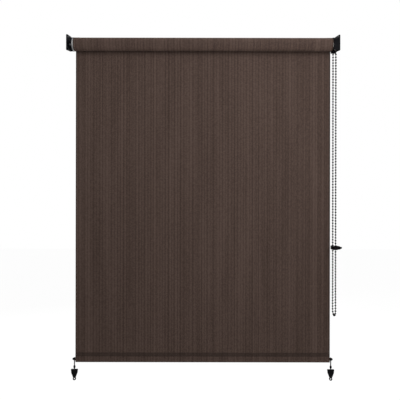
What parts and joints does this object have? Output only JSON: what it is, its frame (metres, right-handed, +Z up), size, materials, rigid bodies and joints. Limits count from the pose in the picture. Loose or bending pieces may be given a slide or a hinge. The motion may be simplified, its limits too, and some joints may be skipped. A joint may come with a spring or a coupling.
{
  "type": "outdoor roller shade",
  "caption": "Outdoor roller shade with a dark knit cloth, black wall brackets, an endless bead chain drive, a weighted bottom rail and elastic hold-down hooks.",
  "frame": {"origin": "on the wall plane, at the centre of the four wall screw holes of the two brackets", "axes": "+Z up, +Y into the wall, +X to the right seen from the front"},
  "size_m": [1.2985, 0.0891, 1.6528],
  "materials": {
    "black_steel": "satin powder coat",
    "black_moulding": "fine moulded grain",
    "chain_plastic": "smooth",
    "white_plastic": "moulded",
    "grey_plastic": "moulded",
    "spring_steel": "bright",
    "alloy": "drawn",
    "shade_cloth": "open knit",
    "elastic": "braided"
  },
  "bodies": {
    "mounting": {"left_bracket": "black_steel", "right_bracket": "black_steel", "left_cover": "black_moulding", "right_cover": "black_moulding", "idler_bush": "black_moulding", "clutch_hub": "grey_plastic", "clutch_screws": "spring_steel", "hub_clip": "spring_steel", "wrap_spring": "spring_steel", "chain_guard": "black_moulding", "fabric_panel": "shade_cloth", "bead_chain": "chain_plastic", "chain_guide": "black_moulding"},
    "roller": {"chain_wheel": "white_plastic", "drive_plug": "white_plastic", "roller_tube": "alloy", "fabric_roll": "shade_cloth", "idler_plug": "grey_plastic", "idler_spring": "spring_steel"},
    "idler": {"idler_pin": "spring_steel"},
    "bottom_rail": {"rail_tube": "alloy", "rail_pocket": "shade_cloth", "left_rail_cap": "black_moulding", "right_rail_cap": "black_moulding"},
    "left_hold_down": {"left_knob": "black_moulding", "left_cord": "elastic", "left_cord_bead": "black_moulding", "left_hook": "black_moulding"},
    "right_hold_down": {"right_knob": "black_moulding", "right_cord": "elastic", "right_cord_bead": "black_moulding", "right_hook": "black_moulding"}
  },
  "joints": [
    {"name": "roller_spin", "type": "hinge", "parent": "mounting", "child": "roller", "pos_m": [0, -0.0565, -0.0165], "axis": [1, 0, 0], "range_deg": [0, 2610], "deforming": ["bead_chain"]},
    {"name": "shade_lift", "type": "slide", "parent": "mounting", "child": "bottom_rail", "axis": [0, 0, 1], "range_m": [0, 1.4236], "deforming": ["fabric_panel"]},
    {"name": "idler_pin_slide", "type": "slide", "parent": "roller", "child": "idler", "axis": [1, 0, 0], "range_m": [0, 0.008], "stiffness_N_per_m": 1500, "springref_m": -0.006, "deforming": ["idler_spring"]},
    {"name": "left_swing", "type": "hinge", "parent": "bottom_rail", "child": "left_hold_down", "pos_m": [-0.6163, -0.01545, -1.5165], "axis": [1, 0, 0], "range_deg": [-90, 90]},
    {"name": "right_swing", "type": "hinge", "parent": "bottom_rail", "child": "right_hold_down", "pos_m": [0.6163, -0.01545, -1.5165], "axis": [1, 0, 0], "range_deg": [-90, 90]}
  ],
  "couplings": [
    {"joint": "shade_lift", "follows": "roller_spin", "m_per_rad": 0.03125}
  ]
}
